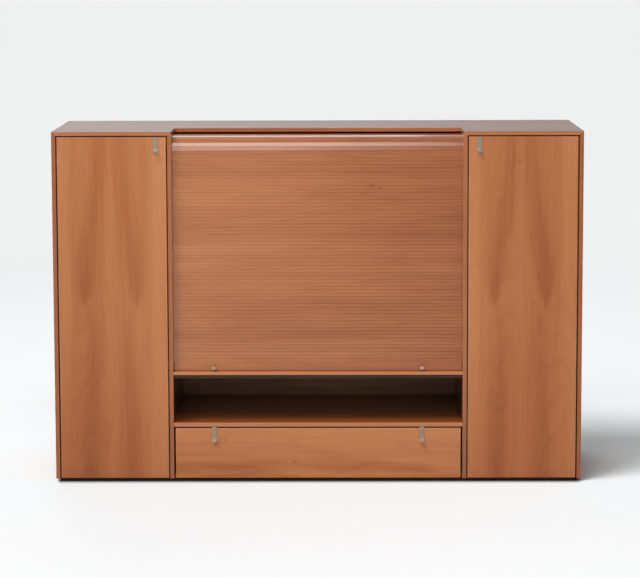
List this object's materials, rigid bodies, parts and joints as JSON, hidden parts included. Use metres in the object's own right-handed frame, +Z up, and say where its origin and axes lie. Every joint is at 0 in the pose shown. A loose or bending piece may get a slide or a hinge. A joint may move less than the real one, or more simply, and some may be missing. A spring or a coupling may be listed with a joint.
{
  "type": "office credenza",
  "caption": "Wide office credenza in reddish-brown veneer: a tall hinged door at each end, a slat roller shutter, open niche and drawer between them, on a low black plinth.",
  "frame": {"origin": "centre of the bounding box's base on the floor, pulls included", "axes": "+X to the viewer's right along the width, +Y from the fronts to the back, +Z up"},
  "size_m": [1.8, 0.512, 1.205],
  "materials": {
    "cherry_veneer": "satin lacquered cherry veneer",
    "cherry_slats": "satin lacquered cherry slats on canvas",
    "niche_lining": "dark matt lining",
    "black_plinth": "black laminate",
    "black_plastic": "moulded black",
    "satin_metal": "satin nickel",
    "zinc_steel": "bright zinc",
    "birch": "clear lacquered birch"
  },
  "bodies": {
    "carcass": {"back_panel_centre": "cherry_veneer", "back_panel_left": "cherry_veneer", "back_panel_right": "cherry_veneer", "bottom_panel_centre": "cherry_veneer", "bottom_panel_left": "cherry_veneer", "bottom_panel_right": "cherry_veneer", "catch_left": "black_plastic", "catch_right": "black_plastic", "curtain_shoulder": "cherry_slats", "deck_rail": "cherry_veneer", "divider_deck": "cherry_veneer", "drawer_deck": "cherry_veneer", "glides": "black_plastic", "niche_back": "niche_lining", "partition_left": "cherry_veneer", "partition_right": "cherry_veneer", "pivot_left_bottom": "zinc_steel", "pivot_left_top": "zinc_steel", "pivot_right_bottom": "zinc_steel", "pivot_right_top": "zinc_steel", "plinth_frame": "black_plinth", "return_guard": "cherry_veneer", "runner_cabinet_left": "zinc_steel", "runner_cabinet_right": "zinc_steel", "shelf_left_high": "cherry_veneer", "shelf_left_low": "cherry_veneer", "shelf_middle": "cherry_veneer", "shelf_pins_left": "zinc_steel", "shelf_pins_middle": "zinc_steel", "shelf_pins_right": "zinc_steel", "shelf_right_high": "cherry_veneer", "shelf_right_low": "cherry_veneer", "side_panel_left": "cherry_veneer", "side_panel_right": "cherry_veneer", "top_panel": "cherry_veneer"},
    "door_left": {"door_left": "cherry_veneer", "pull_door_left": "satin_metal", "strike_left": "zinc_steel"},
    "door_right": {"door_right": "cherry_veneer", "pull_door_right": "satin_metal", "strike_right": "zinc_steel"},
    "drawer": {"drawer_front": "cherry_veneer", "drawer_side_left": "birch", "drawer_side_right": "birch", "drawer_back": "birch", "drawer_bottom": "birch", "pull_drawer_left": "satin_metal", "pull_drawer_right": "satin_metal", "runner_drawer_left": "zinc_steel", "runner_drawer_right": "zinc_steel"},
    "runner_middles": {"runner_middle_left": "zinc_steel", "runner_middle_right": "zinc_steel"},
    "shutter": {"curtain_rail": "cherry_slats", "curtain_knobs": "satin_metal", "curtain_front": "cherry_slats"}
  },
  "joints": [
    {"name": "left_door_hinge", "type": "hinge", "parent": "carcass", "child": "door_left", "pos_m": [-0.872, -0.234, 0.6], "axis": [0, 0, -1], "range_deg": [0, 100]},
    {"name": "right_door_hinge", "type": "hinge", "parent": "carcass", "child": "door_right", "pos_m": [0.872, -0.234, 0.6], "axis": [0, 0, 1], "range_deg": [0, 100]},
    {"name": "drawer_slide", "type": "slide", "parent": "carcass", "child": "drawer", "axis": [0, -1, 0], "range_m": [0, 0.4]},
    {"name": "runner_slide", "type": "slide", "parent": "carcass", "child": "runner_middles", "axis": [0, -1, 0], "range_m": [0, 0.2]},
    {"name": "shutter_lift", "type": "slide", "parent": "carcass", "child": "shutter", "axis": [0, 0, 1], "range_m": [0, 0.724], "deforming": ["curtain_front"]}
  ],
  "couplings": [
    {"joint": "runner_slide", "follows": "drawer_slide", "ratio": 0.5}
  ]
}
